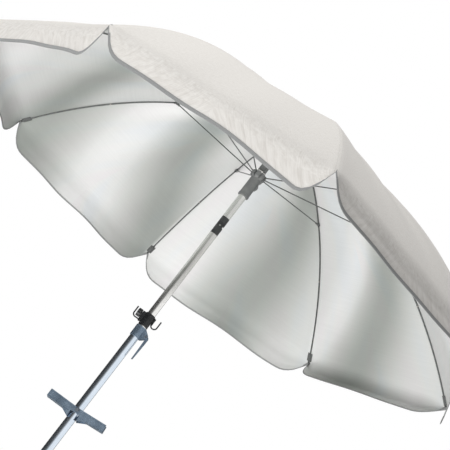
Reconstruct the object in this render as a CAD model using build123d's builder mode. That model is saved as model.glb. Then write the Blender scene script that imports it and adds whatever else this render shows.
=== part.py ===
from build123d import *
import os
from math import atan2, cos, degrees, hypot, radians, sin

# A sun umbrella on a telescoping, tilting pole. Millimetres, +Z up along the pole.
# The origin is the point of the ground tip. +X is the side that the canopy tilts to.

# ---- driving dimensions ----
rim_radius = 1000.0
rim_height = 1274.0
crown_rise = 412.0
rib_count = 8
rib_turn = 17.0
crown_ring_radius = 30.0
rib_diameter = 5.0
rib_bulge = 99.0
rib_skew = 0.171
joint_share = 0.46
stretcher_diameter = 4.0
flap_depth = 78.0
flap_corner = 100.0
fabric_thickness = 1.0

mast_diameter = 28.0
lower_diameter = 31.0
wall = 1.2
lower_top = 812.0
mast_bottom = 506.0
knuckle_height = 1248.0
runner_pivot_radius = 23.0
runner_pivot_height = 1470.0
runner_bottom = 1379.0
clamp_bottom = 781.0
clamp_top = 820.0
collar_bottom = 824.0
collar_top = 870.0
foot_bolt_height = 480.0
foot_wing_reach = 105.0

# ---- sizes worked out from them ----
crown_height = rim_height + crown_rise
mast_radius = mast_diameter / 2
mast_bore = mast_radius - wall
lower_radius = lower_diameter / 2
lower_bore = lower_radius - wall
gore_half_angle = 180.0 / rib_count
rib_radius = rib_diameter / 2
stretcher_radius = stretcher_diameter / 2
running_gap = 0.15
seat_gap = 0.05


def rib_curve(share):
    """Radius and height of the rib's centreline at a share of its reach, 0 at the crown and 1 at the rim."""
    radius = crown_ring_radius + (rim_radius - crown_ring_radius) * share
    arch = 4 * rib_bulge * share * (1 - share) * (1 + rib_skew * (2 * share - 1))
    return radius, rim_height + crown_rise * (1 - share) + arch


def rib_slope(share):
    """Angle of the rib's centreline below the horizontal at a share of its reach, in radians."""
    step = 0.001
    r0, z0 = rib_curve(share - step)
    r1, z1 = rib_curve(share + step)
    return atan2(z0 - z1, r1 - r0)


def turned_to_rib(number):
    """The rotation that takes a piece made at azimuth 0 to the numbered rib."""
    return Rot(0, 0, rib_turn + 360.0 / rib_count * number)


def tube(outer, inner, low, high):
    with BuildPart(mode=Mode.PRIVATE) as piece:
        with BuildSketch(Plane.XY.offset(low)):
            Circle(outer)
            Circle(inner, mode=Mode.SUBTRACT)
        extrude(amount=high - low)
    return piece.part


def save(part, name):
    part.label = name
    export_step(part, f"parts/{name}.step")


os.makedirs("parts", exist_ok=True)

# ==== lower pole ====

tip_length = 60.0
plug_length = 35.0
tip_end_radius = 3.0
with BuildPart() as ground_tip:
    with BuildSketch(Plane.XZ):
        with BuildLine():
            Polyline(
                (0, 0),
                (tip_end_radius, 0),
                (tip_end_radius + 2, 3),
                (lower_radius, tip_length - 8),
                (lower_radius, tip_length),
                (lower_bore - seat_gap, tip_length),
                (lower_bore - seat_gap, tip_length + plug_length),
                (0, tip_length + plug_length),
                close=True,
            )
        make_face()
    revolve(axis=Axis.Z)
    with Locations((0, 0, tip_length + plug_length)):
        Hole(9, depth=plug_length + 15)
save(ground_tip.part, "ground_tip")

bolt_radius = 3.0
shoe_width = 8.0
window_bottom = 792.0
stop_groove = 430.0
with BuildPart() as lower_tube:
    with BuildSketch(Plane.XY.offset(tip_length)):
        Circle(lower_radius)
        Circle(lower_bore, mode=Mode.SUBTRACT)
    extrude(amount=lower_top - tip_length)
    with BuildSketch(Plane.XZ.offset(-lower_diameter)):
        with Locations((0, foot_bolt_height)):
            Circle(bolt_radius + running_gap)
    extrude(amount=2 * lower_diameter, mode=Mode.SUBTRACT)
    with Locations((lower_radius, 0, window_bottom)):
        Box(
            8, shoe_width + 0.6, lower_top - window_bottom + 1,
            align=(Align.CENTER, Align.CENTER, Align.MIN), mode=Mode.SUBTRACT,
        )
    with BuildSketch(Plane.XY.offset(stop_groove)):
        Circle(lower_radius + 1)
        Circle(lower_radius - 0.3, mode=Mode.SUBTRACT)
    extrude(amount=2, mode=Mode.SUBTRACT)
save(lower_tube.part, "lower_tube")

# The foot is two folding channels on one bolt. The ears of one stand inside the ears of the other.
sheet = 1.6
wing_up = 7.6
wing_down = 17.8
wing_ear = 9.0
gusset_drop = 31.0
gusset_reach = 46.0
wing_bead = 0.6
right_wing_lift = 4.5
inner_ear = lower_radius + 0.4
outer_ear = inner_ear + sheet + 0.3


def foot_wing(ear):
    """A channel along +X with a floor, two side plates that carry the ears, and a heel plate on the pole."""
    half_width = ear + sheet
    with BuildPart() as wing:
        for side in (-1, 1):
            plane = Plane.XZ.offset(-side * (ear + sheet / 2))
            with BuildSketch(plane):
                with Locations((0, foot_bolt_height)):
                    Circle(wing_ear)
                with BuildLine():
                    Polyline(
                        (0, foot_bolt_height + wing_up),
                        (foot_wing_reach, foot_bolt_height + wing_up),
                        (foot_wing_reach, foot_bolt_height - wing_down),
                        (gusset_reach, foot_bolt_height - wing_down),
                        (lower_radius + 0.4, foot_bolt_height - gusset_drop),
                        (lower_radius + 0.4, foot_bolt_height - 12),
                        (0, foot_bolt_height - wing_ear),
                        close=True,
                    )
                make_face()
                with Locations((0, foot_bolt_height)):
                    Circle(bolt_radius + running_gap, mode=Mode.SUBTRACT)
            extrude(amount=sheet / 2, both=True)
        with Locations((lower_radius + 1.5, 0, foot_bolt_height - wing_down)):
            Box(
                foot_wing_reach - lower_radius - 1.5, 2 * half_width, sheet,
                align=(Align.MIN, Align.CENTER, Align.MIN),
            )
        with Locations((lower_radius + 0.4, 0, foot_bolt_height - gusset_drop)):
            Box(
                sheet, 2 * half_width, gusset_drop - wing_down + sheet,
                align=(Align.MIN, Align.CENTER, Align.MIN),
            )
        for side in (-1, 1):
            for level in (2.6, 1.8 - wing_down):
                with Locations((lower_radius + 5, side * half_width, foot_bolt_height + level)):
                    Box(
                        foot_wing_reach, 2 * wing_bead, 1.6,
                        align=(Align.MIN, Align.CENTER, Align.CENTER), mode=Mode.SUBTRACT,
                    )
    return wing.part


# The right wing stands a little above level.
to_bolt = Pos(0, 0, foot_bolt_height)
right_wing = to_bolt * Rot(0, -right_wing_lift, 0) * to_bolt.inverse() * foot_wing(inner_ear)
save(right_wing, "foot_wing_right")
save(Rot(0, 0, 180) * foot_wing(outer_ear), "foot_wing_left")

washer_thickness = 1.2
bolt_reach = outer_ear + sheet + 0.2
with BuildPart() as foot_bolt:
    with BuildSketch(Plane.XZ.offset(bolt_reach + washer_thickness)):
        with Locations((0, foot_bolt_height)):
            RegularPolygon(5.8, 6)
    extrude(amount=4)
    with BuildSketch(Plane.XZ.offset(-bolt_reach - 8)):
        with Locations((0, foot_bolt_height)):
            Circle(bolt_radius)
    extrude(amount=2 * bolt_reach + 8 + washer_thickness)
save(foot_bolt.part, "foot_bolt")

with BuildPart() as foot_nut:
    with BuildSketch(Plane.XZ.offset(-bolt_reach - washer_thickness)):
        with Locations((0, foot_bolt_height)):
            RegularPolygon(5.8, 6)
            Circle(bolt_radius + seat_gap, mode=Mode.SUBTRACT)
    extrude(amount=-5)
save(foot_nut.part, "foot_nut")

with BuildPart() as foot_washers:
    for side in (-1, 1):
        with BuildSketch(Plane.XZ.offset(side * (bolt_reach + washer_thickness / 2))):
            with Locations((0, foot_bolt_height)):
                Circle(6.5)
                Circle(bolt_radius + seat_gap, mode=Mode.SUBTRACT)
        extrude(amount=washer_thickness / 2 - 0.02, both=True)
save(foot_washers.part, "foot_washers")

# The clamp is a casting round the top of the lower tube. Its lever's cam presses a shoe on the mast.
clamp_radius = 18.5
lug_half_width = 8.0
lug_reach = 37.0
slot_half_width = 4.4
lever_pin_radius = 2.5
lever_pivot_radius = 31.0
lever_pivot_height = 800.0
with BuildPart() as clamp_body:
    with BuildSketch(Plane.XY.offset(clamp_bottom)):
        Circle(clamp_radius)
    extrude(amount=clamp_top - clamp_bottom)
    with BuildSketch(Plane.XZ.offset(-lug_half_width)):
        with BuildLine():
            Polyline(
                (clamp_radius - 4, clamp_bottom),
                (clamp_radius + 1, clamp_bottom),
                (lug_reach - 8, lever_pivot_height - 11),
                (lug_reach, lever_pivot_height - 4),
                (lug_reach, lever_pivot_height + 4),
                (lug_reach - 2, lever_pivot_height + 7),
                (clamp_radius, clamp_top),
                (clamp_radius - 4, clamp_top),
                close=True,
            )
        make_face()
    extrude(amount=2 * lug_half_width)
    with BuildSketch(Plane.XY.offset(clamp_bottom)):
        Circle(lower_radius + seat_gap)
    extrude(amount=lower_top - clamp_bottom + 0.3, mode=Mode.SUBTRACT)
    with BuildSketch(Plane.XY.offset(clamp_bottom)):
        Circle(mast_radius + running_gap)
    extrude(amount=clamp_top - clamp_bottom, mode=Mode.SUBTRACT)
    with Locations((lower_radius - 2, 0, clamp_bottom + 6)):
        Box(
            30, 2 * slot_half_width, clamp_top - clamp_bottom,
            align=(Align.MIN, Align.CENTER, Align.MIN), mode=Mode.SUBTRACT,
        )
    with BuildSketch(Plane.XZ.offset(-lug_half_width)):
        with Locations((lever_pivot_radius, lever_pivot_height)):
            Circle(lever_pin_radius + seat_gap)
    extrude(amount=2 * lug_half_width, mode=Mode.SUBTRACT)
    for level in (clamp_bottom + 1.5, clamp_bottom + 5, clamp_bottom + 8.5, clamp_bottom + 12):
        with BuildSketch(Plane.XY.offset(level)):
            Circle(clamp_radius + 1)
            Circle(clamp_radius - 0.8, mode=Mode.SUBTRACT)
            with Locations((clamp_radius, 0)):
                Rectangle(2 * clamp_radius, 4 * clamp_radius, mode=Mode.SUBTRACT)
        extrude(amount=1.6, mode=Mode.SUBTRACT)
save(clamp_body.part, "clamp_body")

with BuildPart() as clamp_pin:
    with BuildSketch(Plane.XZ.offset(-lug_half_width - 1)):
        with Locations((lever_pivot_radius, lever_pivot_height)):
            Circle(lever_pin_radius)
    extrude(amount=2 * lug_half_width + 1.1)
    with BuildSketch(Plane.XZ.offset(lug_half_width + 0.02)):
        with Locations((lever_pivot_radius, lever_pivot_height)):
            Circle(lever_pin_radius + 1.5)
    extrude(amount=1.6)
save(clamp_pin.part, "clamp_pin")

cam_radius = 6.0
cam_throw = 1.0
cam_reach = lever_pivot_radius - cam_radius - cam_throw
with BuildPart() as clamp_shoe:
    with Locations((mast_radius + 0.3, 0, lever_pivot_height)):
        Box(
            cam_reach - 0.3 - mast_radius - 0.3, shoe_width, 7.5,
            align=(Align.MIN, Align.CENTER, Align.CENTER),
        )
save(clamp_shoe.part, "clamp_shoe")

lever_end = 716.0
lever_width = 8.0
with BuildPart() as clamp_lever:
    with BuildSketch(Plane.XZ.offset(-lever_width / 2)):
        with Locations((lever_pivot_radius - cam_throw, lever_pivot_height)):
            Circle(cam_radius)
        with BuildLine():
            Polyline(
                (lever_pivot_radius, lever_pivot_height + 4),
                (lever_pivot_radius + 8, lever_pivot_height + 3.5),
                (lever_pivot_radius + 11, lever_pivot_height - 1),
                (lever_pivot_radius + 10, lever_pivot_height - 40),
                (lever_pivot_radius + 8, lever_end + 2),
                (lever_pivot_radius + 4, lever_end),
                (lever_pivot_radius + 3, lever_pivot_height - 40),
                (lever_pivot_radius + 1.5, lever_pivot_height - 4),
                close=True,
            )
        make_face()
        with Locations((lever_pivot_radius, lever_pivot_height)):
            Circle(lever_pin_radius + 0.1, mode=Mode.SUBTRACT)
    extrude(amount=lever_width)
save(clamp_lever.part, "clamp_lever")

# ==== mast ====

bush_drop = 6.0
bush_plug = 24.0
with BuildPart() as mast_end_bush:
    with BuildSketch(Plane.XY.offset(mast_bottom - bush_drop)):
        Circle(lower_bore - 0.08)
        Circle(mast_bore - 4, mode=Mode.SUBTRACT)
    extrude(amount=bush_drop)
    with BuildSketch(Plane.XY.offset(mast_bottom)):
        Circle(mast_bore - seat_gap)
        Circle(mast_bore - 4, mode=Mode.SUBTRACT)
    extrude(amount=bush_plug)
save(mast_end_bush.part, "mast_end_bush")

cheek_inner = 5.3
cheek_radius = 9.6
knuckle_gap = 10.0
knuckle_reach = 35.0
knuckle_plug = 30.0
fill_radius = 9.9
skin_gap = 4.8
save(tube(mast_radius, mast_bore, mast_bottom, knuckle_height - knuckle_reach), "mast_tube")

with BuildPart() as knuckle_lower:
    with BuildSketch(Plane.XY.offset(knuckle_height - knuckle_reach)):
        Circle(mast_radius)
    extrude(amount=knuckle_reach - knuckle_gap)
    with BuildSketch(Plane.XY.offset(knuckle_height - knuckle_reach)):
        Circle(mast_bore - seat_gap)
    extrude(amount=-knuckle_plug)
    with BuildSketch(Plane.XY.offset(knuckle_height - knuckle_gap)):
        Circle(mast_radius)
        Rectangle(2 * mast_radius, 2 * cheek_inner, mode=Mode.SUBTRACT)
    extrude(amount=knuckle_gap + cheek_radius)
    with BuildSketch(Plane.XZ.offset(-mast_radius)):
        with Locations((0, knuckle_height)):
            Rectangle(4 * mast_radius, 2 * cheek_radius + 1)
            Circle(cheek_radius, mode=Mode.SUBTRACT)
            with Locations((0, -cheek_radius / 2 - 1)):
                Rectangle(2 * cheek_radius, cheek_radius + 2, mode=Mode.SUBTRACT)
    extrude(amount=mast_diameter, mode=Mode.SUBTRACT)
    with BuildSketch(Plane.XY.offset(knuckle_height - knuckle_gap - 0.6)):
        Circle(mast_radius)
        with Locations((fill_radius, 0)):
            Rectangle(4 * fill_radius, 2 * mast_radius, mode=Mode.SUBTRACT)
    extrude(amount=knuckle_gap - 0.4)
    with BuildSketch(Plane.XY.offset(knuckle_height - knuckle_gap - 0.6)):
        Circle(mast_radius)
        with Locations((-fill_radius, 0)):
            Rectangle(4 * fill_radius, 2 * mast_radius, mode=Mode.SUBTRACT)
    extrude(amount=knuckle_gap + 0.6 - skin_gap)
    with BuildSketch(Plane.XZ.offset(-mast_radius)):
        with Locations((0, knuckle_height)):
            Circle(bolt_radius + seat_gap)
    extrude(amount=mast_diameter, mode=Mode.SUBTRACT)
save(knuckle_lower.part, "knuckle_lower")

with BuildPart() as tilt_pin:
    with BuildSketch(Plane.XZ.offset(-mast_radius + 2.2)):
        with Locations((0, knuckle_height)):
            Circle(bolt_radius)
    extrude(amount=mast_diameter - 4.4)
save(tilt_pin.part, "tilt_pin")

# ==== upper pole, which tilts on the knuckle ====

tongue_half = 5.0
with BuildPart() as knuckle_upper:
    with BuildSketch(Plane.XY.offset(knuckle_height + knuckle_gap)):
        Circle(mast_radius)
    extrude(amount=knuckle_reach - knuckle_gap)
    with BuildSketch(Plane.XY.offset(knuckle_height + knuckle_reach)):
        Circle(mast_bore - seat_gap)
    extrude(amount=knuckle_plug)
    with BuildSketch(Plane.XZ.offset(-tongue_half)):
        with Locations((0, knuckle_height)):
            Circle(cheek_radius)
            with Locations((0, knuckle_gap / 2 + 0.5)):
                Rectangle(2 * cheek_radius, knuckle_gap + 1)
    extrude(amount=2 * tongue_half)
    with BuildSketch(Plane.XY.offset(knuckle_height + 1)):
        Circle(mast_radius)
        with Locations((fill_radius, 0)):
            Rectangle(4 * fill_radius, 2 * mast_radius, mode=Mode.SUBTRACT)
    extrude(amount=knuckle_gap)
    with BuildSketch(Plane.XY.offset(knuckle_height + skin_gap)):
        Circle(mast_radius)
        with Locations((-fill_radius, 0)):
            Rectangle(4 * fill_radius, 2 * mast_radius, mode=Mode.SUBTRACT)
    extrude(amount=knuckle_gap + 1 - skin_gap)
    with BuildSketch(Plane.XZ.offset(-mast_radius)):
        with Locations((0, knuckle_height)):
            Circle(bolt_radius + seat_gap)
    extrude(amount=mast_diameter, mode=Mode.SUBTRACT)
save(knuckle_upper.part, "knuckle_upper")

upper_top = crown_height - 4
save(tube(mast_radius, mast_bore, knuckle_height + knuckle_reach, upper_top), "upper_tube")

sleeve_radius = 15.2
sleeve_bottom = 1486.0
hub_bottom = crown_height - 14
save(tube(sleeve_radius, mast_radius + seat_gap, sleeve_bottom, hub_bottom - 0.1), "crown_sleeve")

ring_wire = 1.2
hub_radius = 25.0
hub_flange_radius = 38.0
flange_bottom = crown_height + 7.5
flange_top = crown_height + 12
with BuildPart() as crown_hub:
    with BuildSketch(Plane.XY.offset(hub_bottom)):
        Circle(hub_radius)
    extrude(amount=flange_top - hub_bottom)
    with BuildSketch(Plane.XY.offset(flange_bottom)):
        Circle(hub_flange_radius)
    extrude(amount=flange_top - flange_bottom)
    with PolarLocations(0, rib_count, start_angle=rib_turn + gore_half_angle):
        with Locations((hub_radius - 2, 0, hub_bottom + 6)):
            Box(
                11, 5, flange_top - hub_bottom - 6,
                align=(Align.MIN, Align.CENTER, Align.MIN),
            )
    with BuildSketch(Plane.XZ):
        with Locations((crown_ring_radius, crown_height)):
            Circle(ring_wire + 0.1)
    revolve(axis=Axis.Z, mode=Mode.SUBTRACT)
    with BuildSketch(Plane.XY.offset(hub_bottom)):
        Circle(mast_radius + seat_gap)
    extrude(amount=upper_top - hub_bottom + 0.1, mode=Mode.SUBTRACT)
save(crown_hub.part, "crown_hub")

with BuildPart() as crown_ring:
    with BuildSketch(Plane.XZ):
        with Locations((crown_ring_radius, crown_height)):
            Circle(ring_wire)
    revolve(axis=Axis.Z)
save(crown_ring.part, "crown_ring")

cap_gap = 3.0
with BuildPart() as crown_cap:
    with BuildSketch(Plane.XZ):
        with BuildLine():
            Polyline(
                (0, flange_top + 0.1),
                (hub_radius, flange_top + 0.1),
                (hub_radius, flange_top + cap_gap),
                (34, flange_top + cap_gap),
                (33, flange_top + cap_gap + 3),
                (14, flange_top + 10),
                (9, flange_top + 26),
                (5, flange_top + 33),
                (0, flange_top + 34),
                close=True,
            )
        make_face()
    revolve(axis=Axis.Z)
save(crown_cap.part, "crown_cap")

# ==== runner ====

runner_bore = mast_radius + 0.35
runner_sleeve_radius = 18.6
runner_head_radius = 27.0
head_bottom = runner_pivot_height - 10
head_top = runner_pivot_height + 8
slot_start = 19.5
with BuildPart() as runner:
    with BuildSketch(Plane.XZ):
        with BuildLine():
            Polyline(
                (runner_bore, runner_bottom),
                (runner_sleeve_radius + 1, runner_bottom),
                (runner_sleeve_radius + 1, runner_bottom + 8),
                (runner_sleeve_radius, runner_bottom + 10),
                (runner_sleeve_radius, head_bottom - 6),
                (runner_head_radius, head_bottom),
                (runner_head_radius, head_top - 2),
                (runner_head_radius - 2, head_top),
                (runner_bore, head_top),
                close=True,
            )
        make_face()
    revolve(axis=Axis.Z)
    with BuildSketch(Plane.XZ.offset(-4.5)):
        with BuildLine():
            Polyline(
                (runner_sleeve_radius - 1, head_bottom - 3),
                (runner_sleeve_radius + 5.5, head_bottom - 3),
                (runner_sleeve_radius + 5.5, head_bottom - 8),
                (runner_sleeve_radius - 1, head_bottom - 19),
                close=True,
            )
        make_face()
    extrude(amount=9)
    with PolarLocations(0, rib_count, start_angle=rib_turn):
        with Locations((slot_start, 0, head_bottom - 10)):
            Box(
                20, 6.4, head_top - head_bottom + 20,
                align=(Align.MIN, Align.CENTER, Align.MIN), mode=Mode.SUBTRACT,
            )
    with Locations((runner_sleeve_radius - 2.2, 0, runner_pivot_height - 42)):
        Box(8, 9.6, 24.6, align=(Align.MIN, Align.CENTER, Align.CENTER), mode=Mode.SUBTRACT)
save(runner.part, "runner")

with BuildPart() as runner_latch:
    with BuildSketch(Plane.XZ.offset(-4.5)):
        with BuildLine():
            Polyline(
                (runner_sleeve_radius - 0.2, runner_pivot_height - 54),
                (runner_sleeve_radius + 1.5, runner_pivot_height - 54),
                (runner_sleeve_radius + 6, runner_pivot_height - 44),
                (runner_sleeve_radius + 6, runner_pivot_height - 38),
                (runner_sleeve_radius + 1.5, runner_pivot_height - 30),
                (runner_sleeve_radius - 0.2, runner_pivot_height - 30),
                close=True,
            )
        make_face()
    extrude(amount=9)
save(runner_latch.part, "runner_latch")

# ==== ribs, stretchers and canopy panels ====

joint_radius, joint_height = rib_curve(joint_share)
joint_slope = degrees(rib_slope(joint_share))
eye_radius = 3.6
eye_width = 4.0
rib_start = 0.004
rib_end = 0.996
trunnion_radius = 1.5
clip_radius = 3.4
cheek_gap = 3.8
cheek_thickness = 1.2
fork_length = 17.0


def rib_rod():
    """A round wire bent to the rib's curve, with a flat eye on the crown ring."""
    spline_shares = (rib_start, 0.2, 0.4, 0.6, 0.8, rib_end)
    points = [rib_curve(share) for share in spline_shares]
    starts = rib_slope(rib_start)
    with BuildPart() as rod:
        with BuildLine() as path:
            Spline(
                [(radius, 0, height) for radius, height in points],
                tangents=[
                    (cos(starts), 0, -sin(starts)),
                    (cos(rib_slope(rib_end)), 0, -sin(rib_slope(rib_end))),
                ],
            )
        with BuildSketch(Plane(origin=path.line @ 0, z_dir=path.line % 0)):
            Circle(rib_radius)
        sweep()
        with BuildSketch(Plane.XZ.offset(-eye_width / 2)):
            with Locations((crown_ring_radius, crown_height)):
                Circle(eye_radius)
                with Locations((4.5, 0)):
                    Rectangle(9, 2 * rib_radius)
        extrude(amount=eye_width)
        with BuildSketch(Plane.XZ.offset(-eye_width)):
            with Locations((crown_ring_radius, crown_height)):
                Circle(ring_wire + 0.35)
        extrude(amount=2 * eye_width, mode=Mode.SUBTRACT)
    return rod.part


def rib_fittings():
    """The clip that carries the stretcher's trunnions, and the plastic cap on the rib's end."""
    clip_plane = Plane(
        origin=(joint_radius, 0, joint_height),
        x_dir=(0, 1, 0),
        z_dir=(cos(radians(joint_slope)), 0, -sin(radians(joint_slope))),
    )
    tip_radius, tip_height = rib_curve(rib_end)
    tip_slope = rib_slope(rib_end)
    cap_length = 16.0
    cap_plane = Plane(
        origin=(tip_radius, 0, tip_height), z_dir=(cos(tip_slope), 0, -sin(tip_slope))
    )
    with BuildPart() as fittings:
        with BuildSketch(clip_plane):
            Circle(clip_radius)
            Circle(rib_radius + seat_gap, mode=Mode.SUBTRACT)
        extrude(amount=9, both=True)
        for side in (-1, 1):
            with BuildSketch(Plane.XZ.offset(side * (rib_radius + 0.4))):
                with Locations((joint_radius, joint_height)):
                    Circle(trunnion_radius)
            extrude(amount=side * (cheek_gap + cheek_thickness + 0.6 - rib_radius - 0.4))
        with BuildSketch(cap_plane.offset(-cap_length)):
            Circle(rib_radius + 1.2)
            Circle(rib_radius + 0.15, mode=Mode.SUBTRACT)
        extrude(amount=cap_length)
        with BuildSketch(cap_plane):
            Circle(rib_radius + 1.2)
        extrude(amount=1.5)
    return fittings.part


stretcher_drop = joint_height - runner_pivot_height
stretcher_run = joint_radius - runner_pivot_radius
stretcher_length = hypot(stretcher_run, stretcher_drop)
inward = (-stretcher_run / stretcher_length, 0, -stretcher_drop / stretcher_length)


def stretcher():
    """A round wire with a two-cheek fork on the rib clip and a flat eye with a short pin at the runner."""
    along = Plane(origin=(joint_radius, 0, joint_height), x_dir=inward, z_dir=(0, -1, 0))
    with BuildPart() as strut:
        for side in (-1, 1):
            with BuildSketch(along.offset(side * (cheek_gap + cheek_thickness / 2))):
                Circle(4.2)
                with Locations((fork_length / 2, 0)):
                    Rectangle(fork_length, 6)
                Circle(trunnion_radius + 0.1, mode=Mode.SUBTRACT)
            extrude(amount=cheek_thickness / 2, both=True)
        with BuildSketch(along):
            with Locations((fork_length - 1.5, 0)):
                Rectangle(3, 6)
        extrude(amount=cheek_gap + cheek_thickness, both=True)
        rod_start = Vector(joint_radius, 0, joint_height) + Vector(*inward) * (fork_length - 1)
        with BuildSketch(Plane(origin=rod_start, z_dir=inward)):
            Circle(stretcher_radius)
        extrude(amount=stretcher_length - fork_length - 2)
        with BuildSketch(along):
            with Locations((stretcher_length, 0)):
                Circle(2.9)
            with Locations((stretcher_length - 5, 0)):
                Rectangle(10, 2 * stretcher_radius)
        extrude(amount=1.3, both=True)
        with BuildSketch(along):
            with Locations((stretcher_length, 0)):
                Circle(1.2)
        extrude(amount=2.8, both=True)
    return strut.part


band_shares = (0.0125, 0.16, 0.31, 0.46, 0.64, 0.82, 1.0)
panel_lift = 7.4
panel_gap = 0.15


def panel_edge(share):
    """A point above the rib's centreline, square to it, where the fabric's inner face folds over the rib."""
    radius, height = rib_curve(share)
    slope = rib_slope(min(share, 0.998))
    return radius + panel_lift * sin(slope), height + panel_lift * cos(slope)


def sloping_plate(low_share, high_share, side):
    """A flat trapezoid of fabric from the rib to the middle of the gore, between two shares of the reach."""
    r0, z0 = panel_edge(low_share)
    r1, z1 = panel_edge(high_share)
    chord = (-sin(radians(gore_half_angle)), side * cos(radians(gore_half_angle)), 0)
    meridian = Vector(r1 - r0, 0, z1 - z0).normalized()
    normal = meridian.cross(Vector(*chord)) * side
    half_chord = sin(radians(gore_half_angle))
    plane = Plane(origin=(r0, 0, z0), x_dir=chord, z_dir=normal)
    corners = [
        (0, r0, z0),
        (half_chord * r0 - panel_gap, r0, z0),
        (half_chord * r1 - panel_gap, r1, z1),
        (0, r1, z1),
    ]
    flat = []
    for reach, radius, height in corners:
        point = Vector(radius + chord[0] * reach, chord[1] * reach, height)
        local = plane.to_local_coords(point)
        flat.append((local.X, local.Y))
    with BuildPart(mode=Mode.PRIVATE) as plate:
        with BuildSketch(plane):
            with BuildLine():
                Polyline(*flat, close=True)
            make_face()
        extrude(amount=fabric_thickness)
    return plate.part


def hanging_plate(side):
    """Half of the hanging flap beside one rib, cut back in a curve towards the rib's end."""
    radius, height = panel_edge(1.0)
    chord = (-sin(radians(gore_half_angle)), side * cos(radians(gore_half_angle)), 0)
    outward = (cos(radians(gore_half_angle)), side * sin(radians(gore_half_angle)), 0)
    length = sin(radians(gore_half_angle)) * radius - panel_gap
    top = 0.3
    outline = [(0, -top)]
    for share in (0.25, 0.5, 1.0):
        outline.append((flap_corner * share, -flap_depth * (1 - (1 - share) ** 2)))
    outline.append((length, -flap_depth))
    outline.append((length, -top))
    plane = Plane(origin=(radius, 0, height), x_dir=chord, z_dir=outward)
    if side < 0:
        outline = [(across, -down) for across, down in outline]
    with BuildPart(mode=Mode.PRIVATE) as plate:
        with BuildSketch(plane):
            with BuildLine():
                Polyline(*outline, close=True)
            make_face()
        extrude(amount=fabric_thickness)
    return plate.part


def canopy_panel():
    """The fabric from the middle of one gore over the rib to the middle of the next."""
    plates = []
    for side in (-1, 1):
        for low, high in zip(band_shares, band_shares[1:]):
            plates.append(sloping_plate(low, high, side))
        plates.append(hanging_plate(side))
    return plates


def gathered(pieces, turn):
    """One compound of separate solids, turned about the pole."""
    solids = [solid for piece in pieces for solid in (turn * piece).solids()]
    return Compound(children=solids)


rod, fittings, strut, plates = rib_rod(), rib_fittings(), stretcher(), canopy_panel()
for number in range(rib_count):
    turn = turned_to_rib(number)
    save(gathered([rod], turn), f"rib_rod_{number + 1}")
    save(gathered([fittings], turn), f"rib_fittings_{number + 1}")
    save(gathered([strut], turn), f"stretcher_{number + 1}")
    save(gathered(plates, turn), f"canopy_panel_{number + 1}")

# ==== hook collar on the mast ====

collar_radius = 17.2
collar_gap = 0.2
boss_reach = 26.0
boss_half_width = 9.0
boss_bottom = 832.0
hook_wire = 2.4
right_leg = 19.6
right_reach = 41.0
left_reach = 50.0
hook_floor = 835.5
hook_top = 870.0
knob_radius = 14.0
knob_height = 855.0
with BuildPart() as hook_collar:
    with BuildSketch(Plane.XY.offset(collar_bottom)):
        Circle(collar_radius)
    extrude(amount=collar_top - collar_bottom)
    with Locations((0, 0, boss_bottom)):
        Box(
            boss_reach, 2 * boss_half_width, collar_top - 3 - boss_bottom,
            align=(Align.MAX, Align.CENTER, Align.MIN),
        )
    with Locations((0, 0, boss_bottom + 12)):
        Box(
            right_leg + 3.4, 8, collar_top - 3 - boss_bottom - 12,
            align=(Align.MIN, Align.CENTER, Align.MIN),
        )
    with BuildSketch(Plane.XY.offset(collar_bottom)):
        Circle(mast_radius + collar_gap)
    extrude(amount=collar_top - collar_bottom, mode=Mode.SUBTRACT)
    with BuildSketch(Plane.YZ.offset(-mast_radius - collar_gap)):
        with Locations((0, knob_height)):
            Circle(3.1)
    extrude(amount=-20, mode=Mode.SUBTRACT)
    with BuildSketch(Plane.YZ.offset(-mast_radius - 2.2)):
        with Locations((0, hook_floor)):
            Circle(hook_wire)
    extrude(amount=-14, mode=Mode.SUBTRACT)
    with BuildSketch(Plane.XY.offset(boss_bottom - 1)):
        with Locations((right_leg, 0)):
            Circle(hook_wire)
    extrude(amount=31, mode=Mode.SUBTRACT)
save(hook_collar.part, "hook_collar")

bend = (right_reach - right_leg) / 2
with BuildPart() as hook_right:
    with BuildLine() as path:
        leg = Line((right_leg, 0, boss_bottom + 29.8), (right_leg, 0, hook_floor + bend))
        turn = ThreePointArc(
            leg @ 1,
            (right_leg + bend, 0, hook_floor),
            (right_reach, 0, hook_floor + bend),
        )
        Line(turn @ 1, (right_reach, 0, hook_top))
    with BuildSketch(Plane(origin=path.line @ 0, z_dir=path.line % 0)):
        Circle(hook_wire - seat_gap)
    sweep()
save(hook_right.part, "hook_right")

with BuildPart() as hook_left:
    with BuildLine() as path:
        level = Line((-mast_radius - 2.4, 0, hook_floor), (-left_reach + bend, 0, hook_floor))
        turn = TangentArc(level @ 1, (-left_reach, 0, hook_floor + bend), tangent=level % 1)
        Line(turn @ 1, (-left_reach, 0, hook_top))
    with BuildSketch(Plane(origin=path.line @ 0, z_dir=path.line % 0)):
        Circle(hook_wire - seat_gap)
    sweep()
save(hook_left.part, "hook_left")

with BuildPart() as hook_knob:
    with BuildSketch(Plane.YZ.offset(-mast_radius - 0.4)):
        with Locations((0, knob_height)):
            Circle(3)
    extrude(amount=-18)
    with BuildSketch(Plane.YZ.offset(-boss_reach - 0.4)):
        with Locations((0, knob_height)):
            Circle(7)
    extrude(amount=-4)
    with BuildSketch(Plane.YZ.offset(-boss_reach - 3)):
        with Locations((0, knob_height)):
            Circle(knob_radius)
            with PolarLocations(knob_radius + 1.5, 6):
                Circle(3, mode=Mode.SUBTRACT)
    extrude(amount=-13)
save(hook_knob.part, "hook_knob")
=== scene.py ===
import math

import bpy
import numpy as np
from mathutils import Matrix, Vector


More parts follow.
